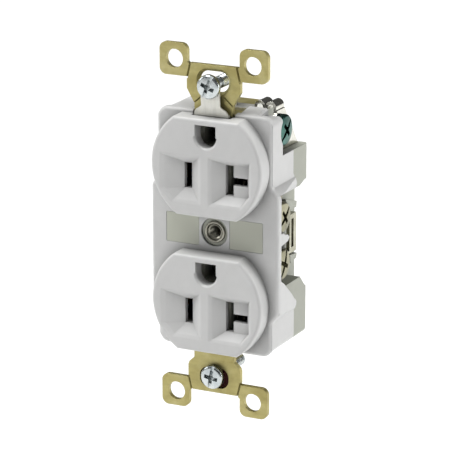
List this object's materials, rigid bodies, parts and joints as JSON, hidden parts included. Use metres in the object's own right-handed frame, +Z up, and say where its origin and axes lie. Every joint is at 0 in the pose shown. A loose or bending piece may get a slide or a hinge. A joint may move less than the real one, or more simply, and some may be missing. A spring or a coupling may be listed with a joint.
{
  "type": "duplex wall outlet",
  "caption": "Duplex wall outlet with T-slot receptacle faces, a wraparound metal mounting strap with break-off ears, captive box screws and side terminal screws.",
  "frame": {"origin": "midway between the two box screws, on the rear face of the strap's ears", "axes": "+X right seen from the front, +Y into the wall, so the faces look along -Y, +Z up along the strap"},
  "size_m": [0.039, 0.0309, 0.1046],
  "materials": {
    "white_nylon": "satin moulded",
    "grey_polyester": "matte moulded",
    "zinc_yellow_steel": "yellow zinc plated, satin",
    "nickel_spring": "nickel plated, satin",
    "zinc_screw": "bright zinc",
    "red_fibre": "pressed fibre",
    "rivet_steel": "zinc plated",
    "nickel_brass": "nickel plated brass",
    "brass": "satin",
    "nickel_screw": "warm nickel plated",
    "brass_screw": "bright",
    "green_screw": "green dyed plating"
  },
  "bodies": {
    "outlet": {"face_cover": "white_nylon", "receptacle_face_upper": "white_nylon", "receptacle_face_lower": "white_nylon", "back_body": "grey_polyester", "mounting_strap": "zinc_yellow_steel", "self_grounding_clip": "nickel_spring", "retaining_washer": "red_fibre", "centre_rivet": "rivet_steel", "neutral_bus": "nickel_brass", "hot_bus": "brass", "ground_terminal": "nickel_spring", "ground_terminal_rivet": "rivet_steel", "ground_contact_upper": "brass", "ground_contact_lower": "brass", "ground_contact_rivets": "rivet_steel"},
    "neutral_screw_upper": {"neutral_screw_upper": "nickel_screw"},
    "neutral_screw_lower": {"neutral_screw_lower": "nickel_screw"},
    "hot_screw_upper": {"hot_screw_upper": "brass_screw"},
    "hot_screw_lower": {"hot_screw_lower": "brass_screw"},
    "ground_screw": {"ground_screw": "green_screw"},
    "box_screw_top": {"box_screw_top": "zinc_screw"},
    "box_screw_bottom": {"box_screw_bottom": "zinc_screw"}
  },
  "joints": [
    {"name": "neutral_upper_clamp", "type": "slide", "parent": "outlet", "child": "neutral_screw_upper", "axis": [1, 0, 0], "range_m": [0, 0.003]},
    {"name": "neutral_lower_clamp", "type": "slide", "parent": "outlet", "child": "neutral_screw_lower", "axis": [1, 0, 0], "range_m": [0, 0.003]},
    {"name": "hot_upper_clamp", "type": "slide", "parent": "outlet", "child": "hot_screw_upper", "axis": [-1, 0, 0], "range_m": [0, 0.003]},
    {"name": "hot_lower_clamp", "type": "slide", "parent": "outlet", "child": "hot_screw_lower", "axis": [-1, 0, 0], "range_m": [0, 0.003]},
    {"name": "ground_clamp", "type": "slide", "parent": "outlet", "child": "ground_screw", "axis": [1, 0, 0], "range_m": [0, 0.003]},
    {"name": "box_screw_top_turn", "type": "hinge", "parent": "outlet", "child": "box_screw_top", "pos_m": [0, 0, 0.04167], "axis": [0, 1, 0], "continuous": true},
    {"name": "box_screw_bottom_turn", "type": "hinge", "parent": "outlet", "child": "box_screw_bottom", "pos_m": [0, 0, -0.04167], "axis": [0, 1, 0], "continuous": true}
  ]
}
